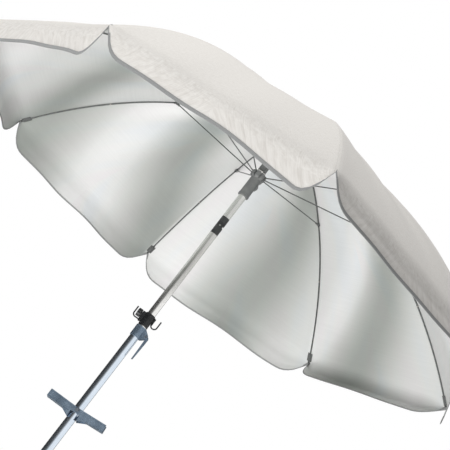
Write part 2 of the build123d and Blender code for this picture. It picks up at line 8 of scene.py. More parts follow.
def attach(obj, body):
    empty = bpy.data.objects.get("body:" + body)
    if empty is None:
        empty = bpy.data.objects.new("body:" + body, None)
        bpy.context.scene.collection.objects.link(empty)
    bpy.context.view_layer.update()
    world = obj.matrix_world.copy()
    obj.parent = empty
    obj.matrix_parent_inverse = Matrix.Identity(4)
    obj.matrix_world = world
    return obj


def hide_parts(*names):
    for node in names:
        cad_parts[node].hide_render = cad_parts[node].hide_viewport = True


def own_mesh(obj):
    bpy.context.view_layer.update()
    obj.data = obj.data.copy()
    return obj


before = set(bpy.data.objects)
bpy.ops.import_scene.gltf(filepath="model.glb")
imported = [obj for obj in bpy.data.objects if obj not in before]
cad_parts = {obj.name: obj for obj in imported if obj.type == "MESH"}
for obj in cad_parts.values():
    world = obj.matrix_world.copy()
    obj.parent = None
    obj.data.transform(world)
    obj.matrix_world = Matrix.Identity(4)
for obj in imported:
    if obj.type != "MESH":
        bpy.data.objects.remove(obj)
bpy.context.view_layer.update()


# ---- The viewer's place ----
# Below the rim and in front, with a long lens and the camera rolled, so that the pole leans across the
# frame. The eye is given by its azimuth, its elevation and its distance from the middle of the rim.
rim_level = 1.274
rim_radius = 1.000
eye_azimuth = math.radians(-82.188)
eye_elevation = math.radians(-16.899)
eye_distance = 5.182
look_azimuth = math.radians(97.679)
look_elevation = math.radians(16.778)
camera_roll = math.radians(37.61)
lens_mm = 125.65


def direction(azimuth, elevation):
    """The unit vector at an azimuth about +Z and an elevation above the XY plane."""
    level = math.cos(elevation)
    return Vector((level * math.cos(azimuth), level * math.sin(azimuth), math.sin(elevation)))


eye = Vector((0, 0, rim_level)) + eye_distance * direction(eye_azimuth, eye_elevation)
forward = direction(look_azimuth, look_elevation)
level_right = forward.cross(Vector((0, 0, 1))).normalized()
level_up = level_right.cross(forward)
right = math.cos(camera_roll) * level_right + math.sin(camera_roll) * level_up
up = right.cross(forward)
camera = bpy.data.objects.new("camera", bpy.data.cameras.new("camera"))
camera.data.lens = lens_mm
camera.data.sensor_width = 36
camera.data.clip_end = 60
camera.matrix_world = Matrix((
    (right.x, up.x, -forward.x, eye.x),
    (right.y, up.y, -forward.y, eye.y),
    (right.z, up.z, -forward.z, eye.z),
    (0, 0, 0, 1),
))
bpy.context.scene.collection.objects.link(camera)
bpy.context.scene.camera = camera


# ---- The drawn aluminium tubes ----
# The mast and the upper tube are bright anodised tube, and the lower tube is a cooler, bluer batch.
# Drawing leaves fine lines along them, and sliding leaves faint smudges.
class Finish:
    """A node material: pattern nodes are added one at a time and linked to the shader's sockets."""

    def __init__(self, name, **sockets):
        self.material = bpy.data.materials.new(name)
        self.material.use_nodes = True
        self.tree = self.material.node_tree
        self.shader = self.tree.nodes["Principled BSDF"]
        for socket, value in sockets.items():
            self.shader.inputs[socket.replace("_", " ")].default_value = value

    def node(self, kind, **inputs):
        made = self.tree.nodes.new("ShaderNode" + kind)
        for socket, value in inputs.items():
            self.put(made.inputs[socket.replace("_", " ")], value)
        return made

    def put(self, socket, value):
        if isinstance(value, bpy.types.NodeSocket):
            self.tree.links.new(value, socket)
        else:
            socket.default_value = value

    def place(self, source="Object", stretch=(1, 1, 1)):
        """Object coordinates or the piece's own UV map, stretched."""
        coords = self.node("TexCoord").outputs[source]
        return self.node("Mapping", Vector=coords, Scale=stretch).outputs[0]

    def noise(self, at, scale, detail=3.0, rough=0.55):
        made = self.node("TexNoise", Vector=at, Scale=scale, Detail=detail, Roughness=rough)
        return made.outputs["Fac"]

    def wave(self, at, scale, along="X", distortion=0.0):
        made = self.node("TexWave", Vector=at, Scale=scale, Distortion=distortion)
        made.bands_direction = along
        return made.outputs["Fac"]

    def ramp(self, factor, *stops):
        """A colour ramp of (position, colour) stops."""
        made = self.node("ValToRGB", Fac=factor)
        points = made.color_ramp.elements
        while len(points) < len(stops):
            points.new(0.5)
        for point, (place, colour) in zip(points, stops):
            point.position = place
            point.color = (*colour, 1)
        return made.outputs[0]

    def mix(self, factor, one, other, how="MIX"):
        made = self.tree.nodes.new("ShaderNodeMix")
        made.data_type = "RGBA"
        made.blend_type = how
        self.put(made.inputs[0], factor)
        self.put(made.inputs[6], one)
        self.put(made.inputs[7], other)
        return made.outputs[2]

    def span(self, value, low, high):
        """A factor of 0 to 1 mapped to a range."""
        return self.node("MapRange", Value=value, **{"To Min": low, "To Max": high}).outputs[0]

    def sum(self, one, other, how="ADD"):
        made = self.tree.nodes.new("ShaderNodeMath")
        made.operation = how
        self.put(made.inputs[0], one)
        self.put(made.inputs[1], other)
        return made.outputs[0]

    def relief(self, height, strength, depth):
        made = self.node("Bump", Height=height, Strength=strength, Distance=depth)
        self.put(self.shader.inputs["Normal"], made.outputs[0])

    def colour(self, value):
        self.put(self.shader.inputs["Base Color"], value)

    def roughness(self, value):
        self.put(self.shader.inputs["Roughness"], value)


def finish_nodes(finish, *names):
    """Gives the named CAD nodes this finish in place of their plain one."""
    for name in names:
        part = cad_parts[name]
        part.data.materials.clear()
        part.data.materials.append(finish.material)


def drawn_tube(name, bright, dull):
    """Anodised tube: lines drawn out along the pole by a stretched noise, and broad smudges over them."""
    tube = Finish(name, Metallic=1.0)
    lines = tube.noise(tube.place(stretch=(1, 1, 0.01)), 900, 4)
    smudge = tube.noise(tube.place(stretch=(1, 1, 0.3)), 28, 5)
    tube.colour(tube.ramp(tube.span(smudge, 0.0, 1.0), (0.35, dull), (0.62, bright)))
    tube.roughness(tube.span(smudge, 0.16, 0.26))
    tube.relief(lines, 0.05, 0.0003)
    return tube


warm_tube = drawn_tube("warm_silver_tube", (0.88, 0.87, 0.845), (0.80, 0.795, 0.78))
cool_tube = drawn_tube("cool_silver_tube", (0.70, 0.77, 0.85), (0.60, 0.68, 0.77))
finish_nodes(warm_tube, "mast_tube", "upper_tube")
finish_nodes(cool_tube, "lower_tube")


# ---- Clamp, clamp lever and foot wings ----
# Pressed and cast steel under blue-grey stoved paint, worn lighter where hands and sand rub it.
def stoved_paint():
    """Blue-grey paint with a cloudy wear pattern and a gritty surface."""
    paint = Finish("blue_grey_paint", Metallic=0.7, Coat_Weight=0.15, Coat_Roughness=0.35)
    cloud = paint.noise(paint.place(), 35, 4, 0.5)
    grit = paint.noise(paint.place(), 1400, 3)
    paint.colour(paint.ramp(
        cloud, (0.3, (0.14, 0.19, 0.25)), (0.5, (0.18, 0.24, 0.31)), (0.72, (0.24, 0.31, 0.39))
    ))
    paint.roughness(paint.span(cloud, 0.30, 0.55))
    paint.relief(paint.sum(cloud, grit), 0.10, 0.0003)
    return paint


finish_nodes(stoved_paint(), "clamp_body", "clamp_lever", "foot_wing_left", "foot_wing_right")


# ---- The tilt pin and the crown ring ----
# The turned tilt pin, and the bent ring that the ribs hang on, are steel with bright zinc plate, passivated
# yellow.
def zinc_plate():
    """Zinc plate with a faint yellow cast in patches."""
    zinc = Finish("zinc_plate", Metallic=1.0)
    patch = zinc.noise(zinc.place(), 220, 4)
    zinc.colour(zinc.ramp(patch, (0.35, (0.45, 0.46, 0.48)), (0.65, (0.70, 0.70, 0.66))))
    zinc.roughness(zinc.span(patch, 0.25, 0.45))
    zinc.relief(patch, 0.2, 0.0002)
    return zinc


finish_nodes(zinc_plate(), "tilt_pin", "crown_ring")


# ---- The foot bolt and the clamp pin ----
# A hexagon bolt holds both wings through the lower tube, and a headed pin holds the clamp's lever. They are
# cold-headed steel with a dark phosphate coat.
def phosphate():
    """Dark grey phosphated steel, mottled at the scale of its crystals."""
    steel = Finish("phosphate", Metallic=0.8)
    mottle = steel.noise(steel.place(), 500, 4)
    steel.colour(steel.ramp(mottle, (0.35, (0.10, 0.12, 0.14)), (0.65, (0.24, 0.27, 0.31))))
    steel.roughness(steel.span(mottle, 0.35, 0.55))
    steel.relief(mottle, 0.2, 0.0002)
    return steel


finish_nodes(phosphate(), "foot_bolt", "foot_nut", "foot_washers", "clamp_pin")


# ---- Moulded plastic parts ----
# Nylon and polypropylene mouldings with a fine spark-eroded texture: black for the collar, knob, tip and
# bushes, charcoal for the knuckle, and mid grey for the runner, its latch and the crown.
def moulding(name, low, high, rough):
    """A plastic between two tones, with a fine grain."""
    plastic = Finish(name, IOR=1.46)
    grain = plastic.noise(plastic.place(), 2600, 2)
    cloud = plastic.noise(plastic.place(), 45, 4)
    plastic.colour(plastic.ramp(cloud, (0.3, low), (0.7, high)))
    plastic.roughness(plastic.span(cloud, rough - 0.08, rough + 0.08))
    plastic.relief(grain, 0.18, 0.0002)
    return plastic


black_moulding = moulding("black_moulding", (0.006, 0.007, 0.008), (0.016, 0.017, 0.019), 0.42)
charcoal_moulding = moulding("charcoal_moulding", (0.028, 0.030, 0.031), (0.048, 0.050, 0.050), 0.45)
grey_moulding = moulding("grey_moulding", (0.14, 0.145, 0.145), (0.19, 0.195, 0.19), 0.5)
sleeve_moulding = moulding("sleeve_moulding", (0.11, 0.115, 0.115), (0.15, 0.155, 0.15), 0.45)
finish_nodes(
    black_moulding, "hook_collar", "hook_knob", "ground_tip", "mast_end_bush", "clamp_shoe",
)
finish_nodes(charcoal_moulding, "knuckle_lower", "knuckle_upper")
finish_nodes(grey_moulding, "runner", "runner_latch", "crown_hub", "crown_cap")
finish_nodes(sleeve_moulding, "crown_sleeve")


# ---- Hooks, ribs and stretchers ----
# Spring wire with a dark grey dip coat, slightly glossy, that has pooled a little unevenly along the wire.
def dipped_wire(name, low, high):
    """A dip coat between two tones, pooled by a slow noise."""
    wire = Finish(name, Metallic=0.3, Coat_Weight=0.3, Coat_Roughness=0.25)
    pool = wire.noise(wire.place(), 90, 4)
    wire.colour(wire.ramp(pool, (0.35, low), (0.65, high)))
    wire.roughness(wire.span(pool, 0.3, 0.5))
    wire.relief(wire.noise(wire.place(), 500, 3), 0.2, 0.0003)
    return wire


hook_coat = dipped_wire("hook_coat", (0.014, 0.016, 0.019), (0.035, 0.038, 0.043))
rib_coat = dipped_wire("rib_coat", (0.080, 0.085, 0.083), (0.125, 0.130, 0.126))
rib_count = 8
rib_numbers = range(1, rib_count + 1)
finish_nodes(hook_coat, "hook_left", "hook_right")
finish_nodes(rib_coat, *[f"rib_rod_{n}" for n in rib_numbers], *[f"stretcher_{n}" for n in rib_numbers])
finish_nodes(charcoal_moulding, *[f"rib_fittings_{n}" for n in rib_numbers])


# ---- The canopy cloth ----
# Eight gores of woven polyester, linen-coloured outside and silver-coated inside, are sewn along the ribs,
# with a hanging flap below the rim. Each piece here is the cloth over one rib, from mid-gore to mid-gore.
rib_turn = math.radians(17)
gore_angle = 2 * math.pi / rib_count
half_gore = gore_angle / 2
crown_rise = 0.412
rib_bulge = 0.099
rib_skew = 0.171
rib_root = 0.030
rib_length = 1.10
cloth_start = -1.112
cloth_lift = 0.0042
cloth_thickness = 0.0006
flap_depth = 0.078
flap_corner = 0.100
rim_bend = 0.034
gore_sag = 0.009
columns = 48
stitches_per_metre = 1500.0
# By gore: the flap's lean outward in degrees, how strongly it flutters, and how much deeper it grows at one
# side.
flap_lean = {0: -38, 1: 14, 2: 10, 3: -4, 4: -6, 5: 2, 6: 20, 7: 8}
flap_flutter = {0: 1.0, 1: 2.2, 2: 2.2, 3: 1.4, 4: 1.0, 5: 1.0, 6: 1.0, 7: 1.0}
flap_growth = {0: 0, 1: 0, 2: 0, 3: 0, 4: 0.50, 5: 0.55, 6: 0, 7: 0}


def rib_line(share):
    """Radius and height of the rib's centreline at a share of its reach: a straight fall from crown to rim,
    plus a skewed parabola, 4b s(1-s)(1+k(2s-1))."""
    radius = rib_root + (rim_radius - rib_root) * share
    arch = 4 * rib_bulge * share * (1 - share) * (1 + rib_skew * (2 * share - 1))
    return radius, rim_level + crown_rise * (1 - share) + arch


def rib_slope(share):
    """Angle of the rib below the horizontal, from a short central difference."""
    inner, upper = rib_line(share - 0.004)
    outer, lower = rib_line(share + 0.004)
    return np.arctan2(upper - lower, outer - inner)


def flap_drop(gore, across):
    """Depth of the flap at a place from -1 to 1 between two ribs: a curve d(1-(1-x)^2.6) in from each rib
    over the corner's width, then level. Where the gore was cut fuller, the flap grows towards the next rib as
    the square of the way there, and its corner is tighter."""
    corner = flap_corner * np.where(across > 0, 1 - 0.45 * flap_growth[gore], 1)
    inset = np.clip((1 - np.abs(across)) * rim_radius * math.sin(half_gore) / corner, 0, 1)
    fuller = 1 + flap_growth[gore] * np.clip((across + 0.1) / 1.1, 0, 1) ** 2
    return 0.002 + flap_depth * fuller * (1 - (1 - inset) ** 2.6)


def gore_waves(gore, across, along):
    """Small stretch folds in a gore, in metres, from sines that cross it. They fade to nothing at the ribs,
    as 1-a^4."""
    draw = np.random.default_rng(40 + gore)
    height = np.zeros(np.broadcast(across, along).shape)
    for _ in range(7):
        span, reach = draw.uniform(1.0, 5.0), draw.uniform(-4.0, 4.0)
        phase, size = draw.uniform(0, 2 * math.pi), draw.uniform(0.0003, 0.0011)
        height += size * np.sin(span * across * 2.2 + reach * along * 3.0 + phase)
    return height * (1 - across**4) * np.clip(along * 3, 0, 1)


def draped_gore(gore, across, arc, lift):
    """Points of one gore with a sharp rim. across is -1 to 1 from rib to rib. arc is in metres from the rim,
    below zero up the gore and above zero down the flap. A row is a chord between two ribs, drawn in by a sag
    of g(1-a^2). The flap hangs from the rim, turned in or out by its lean, with a flutter of a few sines that
    grows downward."""
    along = 1 + np.minimum(arc, 0) / rib_length
    drop = np.maximum(arc, 0)
    depth = flap_drop(gore, across)
    below = drop / depth
    radius, height = rib_line(along)
    slope = rib_slope(along)
    side = radius * math.sin(half_gore) * across
    reach = radius * math.cos(half_gore)
    tight = np.clip(np.sin(math.pi * np.clip(along, 0, 1) ** 0.8), 0.15, 1)
    dent = gore_waves(gore, across, along) - gore_sag * (1 - across**2) * tight
    lean = math.radians(flap_lean[gore]) * np.clip(below * 1.5, 0, 1) ** 0.8
    draw = np.random.default_rng(90 + gore)
    flutter = np.zeros(np.broadcast(across, below).shape)
    for _ in range(4):
        turns, phase = draw.uniform(2.0, 7.0), draw.uniform(0, 2 * math.pi)
        flutter += draw.uniform(0.0008, 0.0022) * np.sin(turns * flap_flutter[gore] * across + phase)
    flutter = flap_flutter[gore] * flutter * below**1.5 * np.sqrt(depth / (flap_depth + 0.002))
    out = np.where(drop > 0, np.cos(lean), np.sin(slope))
    rise = np.where(drop > 0, np.sin(lean), np.cos(slope))
    reach = reach + dent * np.sin(slope) + drop * np.sin(lean) + flutter + lift * out
    height = height + dent * np.cos(slope) - drop * np.cos(lean) + lift * rise
    middle = rib_turn + (gore + 0.5) * gore_angle
    x = reach * math.cos(middle) - side * math.sin(middle)
    y = reach * math.sin(middle) + side * math.cos(middle)
    return np.stack(np.broadcast_arrays(x, y, height), axis=-1)


def gore_surface(gore, across, arc, lift):
    """The draped gore with its rim rounded by a quadratic Bezier, (1-t)^2 A + 2t(1-t) B + t^2 C, from a bend
    above the rim to a bend below it."""
    bend = np.minimum(rim_bend, 0.45 * flap_drop(gore, across))
    share = np.clip((arc + bend) / (2 * bend), 0, 1)[..., None]
    start = draped_gore(gore, across, -bend, lift)
    corner = draped_gore(gore, across, 0 * bend, lift)
    end = draped_gore(gore, across, bend, lift)
    rounded = (1 - share) ** 2 * start + 2 * share * (1 - share) * corner + share**2 * end
    return np.where((np.abs(arc) < bend)[..., None], rounded, draped_gore(gore, across, arc, lift))


def over_rib(rib, rows, lift):
    """The cloth over one rib as a grid: half of the gore before it and half of the gore after it. rows gives
    the arc of every row at each place across."""
    ease = np.linspace(0, 1, columns // 2 + 1)[None, :]
    last = (rib - 1) % rib_count
    before = gore_surface(last, ease, rows(last, ease), lift)
    after = gore_surface(rib, ease[:, 1:] - 1, rows(rib, ease[:, 1:] - 1), lift)
    return np.concatenate([before, after], axis=1)


def cloth_rows(gore, across):
    """Rows from the crown to the rim, closer near the rim, then shares of the flap's drop down to its
    edge."""
    above = np.concatenate([np.linspace(cloth_start, -0.06, 76), np.linspace(-0.054, 0, 10)])[:, None]
    below = np.linspace(0, 1, 15)[1:, None] * flap_drop(gore, across)
    return np.concatenate([above + 0 * across, below])


def closed_cloth(name, outer, inner, materials):
    """A mesh with an outer and an inner grid of the same shape, and walls round the edge, closed all round.
    The outer face takes the first material and the inner one the last. The UV map holds metres across and
    along."""
    rows, cols = outer.shape[:2]
    index = np.arange(rows * cols).reshape(rows, cols)
    quads = np.stack([index[:-1, :-1], index[1:, :-1], index[1:, 1:], index[:-1, 1:]], axis=-1)
    quads = quads.reshape(-1, 4)
    border = np.concatenate([index[0, :], index[1:, -1], index[-1, -2::-1], index[-2:0:-1, 0]])
    ahead = np.roll(border, -1)
    shift = rows * cols
    walls = np.stack([border, ahead, ahead + shift, border + shift], axis=-1)
    faces = np.concatenate([quads, quads[:, ::-1] + shift, walls])
    points = np.concatenate([outer.reshape(-1, 3), inner.reshape(-1, 3)])
    mesh = bpy.data.meshes.new(name)
    mesh.from_pydata(points.tolist(), [], faces.tolist())
    for material in materials:
        mesh.materials.append(material)
    last = len(materials) - 1
    which = np.concatenate([np.zeros(len(quads)), np.full(len(quads), last), np.zeros(len(walls))])
    mesh.polygons.foreach_set("material_index", which.astype(np.int32))
    mesh.polygons.foreach_set("use_smooth", np.ones(len(faces), bool))
    step_across = np.linalg.norm(np.diff(outer, axis=1), axis=-1)
    step_along = np.linalg.norm(np.diff(outer, axis=0), axis=-1)
    across = np.concatenate([np.zeros((rows, 1)), np.cumsum(step_across, axis=1)], axis=1)
    across = across - across[:, cols // 2][:, None]
    down = np.cumsum(step_along[:, cols // 2])
    along = np.broadcast_to(np.concatenate([[0], down])[:, None], (rows, cols))
    flat = np.tile(np.stack([across, along], axis=-1).reshape(-1, 2), (2, 1))
    loops = np.empty(len(mesh.loops), np.int32)
    mesh.loops.foreach_get("vertex_index", loops)
    mesh.uv_layers.new(name="UVMap").data.foreach_set("uv", flat[loops].astype(np.float32).ravel())
    ends = np.empty(len(mesh.edges) * 2, np.int32)
    mesh.edges.foreach_get("vertices", ends)
    on_border = np.zeros(2 * shift, bool)
    on_border[border] = True
    on_border[border + shift] = True
    both = on_border[ends.reshape(-1, 2)].all(axis=1)
    mesh.attributes.new("sharp_edge", "BOOLEAN", "EDGE").data.foreach_set("value", both)
    mesh.validate()
    piece = bpy.data.objects.new(name, mesh)
    bpy.context.scene.collection.objects.link(piece)
    return piece


def stitch_row(finish, distance, place, half_width, along):
    """1 on the stitches of a row that lies at a place, 0 elsewhere: |d-place| < w and sin(k along) > 0."""
    off_row = finish.sum(finish.sum(distance, place, "SUBTRACT"), 0.0, "ABSOLUTE")
    on_row = finish.sum(off_row, half_width, "LESS_THAN")
    swing = finish.sum(finish.sum(along, stitches_per_metre, "MULTIPLY"), 0.0, "SINE")
    return finish.sum(on_row, finish.sum(swing, 0.0, "GREATER_THAN"), "MULTIPLY")


def linen_weave():
    """The outer face: a slubby plain weave, a raised seam on the rib with a row of stitches each side of it,
    and a second layer of cloth round the crown."""
    linen = Finish("linen_weave", Roughness=0.88, Sheen_Weight=0.1, Sheen_Roughness=0.5)
    slub_across = linen.noise(linen.place("UV", (60, 900, 1)), 1.0, 4, 0.65)
    slub_along = linen.noise(linen.place("UV", (900, 60, 1)), 1.0, 4, 0.65)
    weave = linen.sum(slub_across, slub_along, "MULTIPLY")
    cloud = linen.noise(linen.place("UV"), 9, 4)
    thread = linen.ramp(
        weave, (0.10, (0.58, 0.55, 0.51)), (0.28, (0.735, 0.712, 0.678)), (0.45, (0.825, 0.805, 0.775))
    )
    cloth = linen.mix(linen.span(cloud, 0.0, 0.22), thread, (0.68, 0.66, 0.63, 1))
    parts = linen.node("SeparateXYZ", Vector=linen.place("UV"))
    off_seam = linen.sum(parts.outputs["X"], 0.0, "ABSOLUTE")
    stitch = stitch_row(linen, off_seam, 0.0060, 0.0005, parts.outputs["Y"])
    linen.colour(linen.mix(linen.sum(stitch, 0.6, "MULTIPLY"), cloth, (0.46, 0.44, 0.41, 1)))
    seam = linen.sum(off_seam, 0.0085, "LESS_THAN")
    patch = linen.sum(parts.outputs["Y"], 0.055, "LESS_THAN")
    layers = linen.sum(linen.sum(seam, patch, "MAXIMUM"), stitch, "SUBTRACT")
    linen.relief(linen.sum(layers, weave), 0.5, 0.0006)
    return linen


def silver_coat():
    """The inner face: aluminium coated on the cloth in a vacuum, with painted sheen stored on the mesh (bands
    of painted highlight and painted shade that set its colour), faint tints, and fine streaks along the weft."""
    silver = Finish("silver_coat", Metallic=0.12, Specular_IOR_Level=0.3)
    painted_light_tone = silver.node("Attribute")
    painted_light_tone.attribute_name = "painted_sheen_band"
    streak = silver.noise(silver.place("UV", (4, 190, 1)), 1.0, 5, 0.7)
    weft = silver.noise(silver.place("UV", (16, 1500, 1)), 1.0, 3)
    tint = silver.noise(silver.place("UV", (7, 1.2, 1)), 1.0, 2)
    # The coating's colour is painted sheen: from a dark grey of painted shade at 0 to a near white of painted
    # highlight at 1.
    painted_sheen_colour = silver.ramp(
        painted_light_tone.outputs["Fac"],
        (0.0, (0.36, 0.378, 0.358)), (0.4, (0.54, 0.552, 0.535)), (0.75, (0.735, 0.74, 0.735)),
        (1.0, (0.80, 0.80, 0.80)),
    )
    tinted_painted_sheen = silver.mix(
        silver.span(tint, 0.0, 0.45), painted_sheen_colour,
        silver.ramp(
            tint, (0.38, (0.98, 0.84, 0.88)), (0.5, (0.96, 0.95, 0.91)), (0.62, (0.86, 0.92, 0.99)),
        ),
        "MULTIPLY",
    )
    silver.colour(silver.mix(silver.span(streak, 0.0, 0.38), tinted_painted_sheen, (0.62, 0.63, 0.62, 1), "MULTIPLY"))
    silver.roughness(silver.span(weft, 0.60, 0.76))
    silver.relief(silver.sum(streak, weft), 0.15, 0.0003)
    return silver


# Where the coating's painted sheen lies across each gore, at the rim, then half way up: a bright ridge of
# painted highlight and dark valleys of painted shade. Gores 4 and 5 are painted darker and gores 6 and 7
# brighter, so that the upper tube reflects a painted dark side and a painted highlight.
painted_highlight_width = 0.28
painted_shade_width = 0.46
painted_sheen_lines = {
    0: ((0.95, -0.20), (0.18, -0.85)),
    1: ((0.70, 0.75), (-0.15, -0.60)),
    2: ((0.08, 0.85), (-0.85, 0.00), (0.98, 1.75)),
    3: ((0.45, 2.60), (-1.05, 0.60)),
    4: ((2.20, 2.20), (0.00, 0.00)),
    5: ((0.95, 0.95), (-0.35, -0.35)),
    6: ((0.00, 0.00), (2.40, 2.40)),
    7: ((0.00, 0.00), (-2.40, -2.40)),
}


def painted_sheen(gore, across, along):
    """The coating's painted sheen, 0 to 1, which sets its colour: a level base, plus a Gaussian ridge of
    painted highlight exp(-((a-c)/w)^2), less a Gaussian valley or two of painted shade, each centred on a
    straight line between its two places."""
    rimward = (along - 0.5) / 0.43
    painted_highlight_line, *painted_shade_lines = [mid + (rim - mid) * rimward for rim, mid in painted_sheen_lines[gore]]
    painted_light_tone = 0.66 + 0.34 * np.exp(-(((across - painted_highlight_line) / painted_highlight_width) ** 2))
    for painted_shade_line in painted_shade_lines:
        painted_light_tone = painted_light_tone - 0.68 * np.exp(-(((across - painted_shade_line) / painted_shade_width) ** 2))
    return np.clip(painted_light_tone, 0, 1)


def spread_painted_sheen(piece, rib):
    """Stores the painted sheen (painted highlight and painted shade) of the two half gores at every point of
    both faces of a cloth.
    """
    ease = np.linspace(0, 1, columns // 2 + 1)[None, :]
    halves = []
    for gore, across in (((rib - 1) % rib_count, ease), (rib, ease[:, 1:] - 1)):
        along = 1 + np.minimum(cloth_rows(gore, across), 0) / rib_length
        halves.append(painted_sheen(gore, across, along))
    grid = np.concatenate(halves, axis=1)
    values = np.tile(grid.reshape(-1), 2).astype(np.float32)
    piece.data.attributes.new("painted_sheen_band", "FLOAT", "POINT").data.foreach_set("value", values)


def surface_area(grid):
    """Area of a grid of quads, from the cross products of its steps."""
    one = grid[1:, :-1] - grid[:-1, :-1]
    other = grid[:-1, 1:] - grid[:-1, :-1]
    return float(np.linalg.norm(np.cross(one, other), axis=-1).sum())


linen_finish = linen_weave()
silver_finish = silver_coat()
cloths = {}
for number in rib_numbers:
    rib = number - 1
    outer = over_rib(rib, cloth_rows, cloth_lift + cloth_thickness)
    inner = over_rib(rib, cloth_rows, cloth_lift)
    finishes = [linen_finish.material, silver_finish.material]
    cloths[number] = closed_cloth(f"canopy_cloth_{number}", outer, inner, finishes)
    surface_area(outer)
    # Painted sheen: light and shade stored on the cloth as the coating's colour.
    spread_painted_sheen(cloths[number], rib)


# ---- Binding tape on the flap's edge ----
# Grey woven tape, ten millimetres wide outside and less than half of that inside, is folded over the raw
# edge of the flap and sewn through with one row of stitches.
tape_outer = np.array([
    (0.0100, 0.0011), (0.0070, 0.0011), (0.0040, 0.0011), (0.0010, 0.0011), (-0.0009, 0.0007),
    (-0.0012, 0.0000), (-0.0009, -0.0007), (0.0010, -0.0011), (0.0030, -0.0011), (0.0042, -0.0011),
])
tape_inner = np.array([
    (0.0100, 0.0005), (0.0070, 0.0005), (0.0040, 0.0005), (0.0010, 0.0005), (-0.0003, 0.0003),
    (-0.0005, 0.0000), (-0.0003, -0.0003), (0.0010, -0.0005), (0.0030, -0.0005), (0.0042, -0.0005),
])
cloth_middle = cloth_lift + cloth_thickness / 2


def tape_face(rib, profile):
    """One face of the tape: its profile is pairs of a distance up from the flap's edge and an offset from the
    middle of the cloth, carried along the edge."""
    return over_rib(
        rib,
        lambda gore, across: flap_drop(gore, across) - profile[:, :1],
        cloth_middle + profile[:, 1:],
    )


def woven_tape():
    """Grey tape with fine ribs across it and one row of stitches."""
    tape = Finish("woven_tape", Roughness=0.8, Sheen_Weight=0.15)
    ribs = tape.wave(tape.place("UV"), 700, "X")
    fuzz = tape.noise(tape.place("UV"), 1200, 3)
    parts = tape.node("SeparateXYZ", Vector=tape.place("UV"))
    stitch = stitch_row(tape, parts.outputs["Y"], 0.0075, 0.0004, parts.outputs["X"])
    base = tape.ramp(
        tape.sum(ribs, fuzz, "MULTIPLY"), (0.1, (0.23, 0.235, 0.235)), (0.5, (0.33, 0.335, 0.33))
    )
    tape.colour(tape.mix(tape.sum(stitch, 0.7, "MULTIPLY"), base, (0.45, 0.45, 0.44, 1)))
    tape.relief(tape.sum(ribs, fuzz), 0.25, 0.0003)
    return tape


tape_finish = woven_tape()
trims = {number: [] for number in rib_numbers}
for number in rib_numbers:
    tape = closed_cloth(
        f"edge_tape_{number}", tape_face(number - 1, tape_outer), tape_face(number - 1, tape_inner),
        [tape_finish.material],
    )
    trims[number].append(tape)


# ---- Pockets at the rib ends ----
# A short sleeve of dark grey tape is sewn under each rib's capped end and holds the canopy out on it.
pocket_half_width = 0.0105
pocket_radius = 0.0044
pocket_thickness = 0.0005


def rib_frame(share, rib):
    """A point on a rib's centreline, and the unit vectors along it, across it and square to it upward."""
    azimuth = rib_turn + rib * gore_angle
    radius, height = rib_line(share)
    slope = rib_slope(share)
    level = np.array([math.cos(azimuth), math.sin(azimuth), 0])
    cross = np.array([-math.sin(azimuth), math.cos(azimuth), 0])
    upward = np.array([0, 0, 1])
    share = np.asarray(share, float)[..., None]
    radius, height, slope = (np.asarray(value)[..., None] for value in (radius, height, slope))
    middle = radius * level + height * upward
    down_rib = np.cos(slope) * level - np.sin(slope) * upward
    square = np.sin(slope) * level + np.cos(slope) * upward
    return middle, down_rib, cross + 0 * share, square


def pocket_face(rib, radius):
    """A gutter under the rib's end: a half circle of the given radius about the rib, with a short margin on
    each side against the cloth, which falls away from the rib at half the angle between two gores."""
    turn = np.linspace(0, math.pi, 17)
    sideways = np.concatenate([[-pocket_half_width], -radius * np.cos(turn), [pocket_half_width]])
    fall = pocket_half_width * math.tan(half_gore) * math.sin(rib_slope(0.98))
    margin = 0.0037 - fall - (radius - pocket_radius)
    drop = np.concatenate([[margin], -radius * np.sin(turn), [margin]])
    middle, _, cross, square = rib_frame(np.linspace(0.966, 0.992, 9), rib)
    aside = sideways[None, :, None] * cross[:, None]
    return middle[:, None] + aside + drop[None, :, None] * square[:, None]


dark_tape = Finish("dark_tape", Roughness=0.85)
warp = dark_tape.wave(dark_tape.place("UV"), 600, "X")
dark_tape.colour(dark_tape.ramp(warp, (0.2, (0.085, 0.088, 0.086)), (0.8, (0.130, 0.134, 0.131))))
dark_tape.relief(warp, 0.2, 0.0002)
for number in rib_numbers:
    pocket = closed_cloth(
        f"tip_pocket_{number}", pocket_face(number - 1, pocket_radius),
        pocket_face(number - 1, pocket_radius + pocket_thickness), [dark_tape.material],
    )
    trims[number].append(pocket)


# ---- Ties between the canopy and the ribs ----
# Waxed thread goes twice round the rib, through the seam, and hangs in a short tail. Each rib has two ties.
thread_radius = 0.00045
tie_shares = (0.26, 0.70)


def swept_thread(path, radius, sides=7):
    """Vertices and faces of a closed round tube along a path, with its rings square to the path."""
    heading = np.gradient(path, axis=0)
    heading /= np.linalg.norm(heading, axis=1, keepdims=True)
    first = np.cross(heading, (0.31, 0.17, 0.93))
    first /= np.linalg.norm(first, axis=1, keepdims=True)
    second = np.cross(heading, first)
    turn = np.linspace(0, 2 * math.pi, sides + 1)[:-1]
    rings = path[:, None] + radius * (
        np.cos(turn)[None, :, None] * first[:, None] + np.sin(turn)[None, :, None] * second[:, None]
    )
    count = len(path)
    index = np.arange(count * sides).reshape(count, sides)
    after = np.roll(index, -1, axis=1)
    skin = np.stack([index[:-1], after[:-1], after[1:], index[1:]], axis=-1).reshape(-1, 4)
    return rings.reshape(-1, 3), skin.tolist() + [index[0, ::-1].tolist(), index[-1].tolist()]


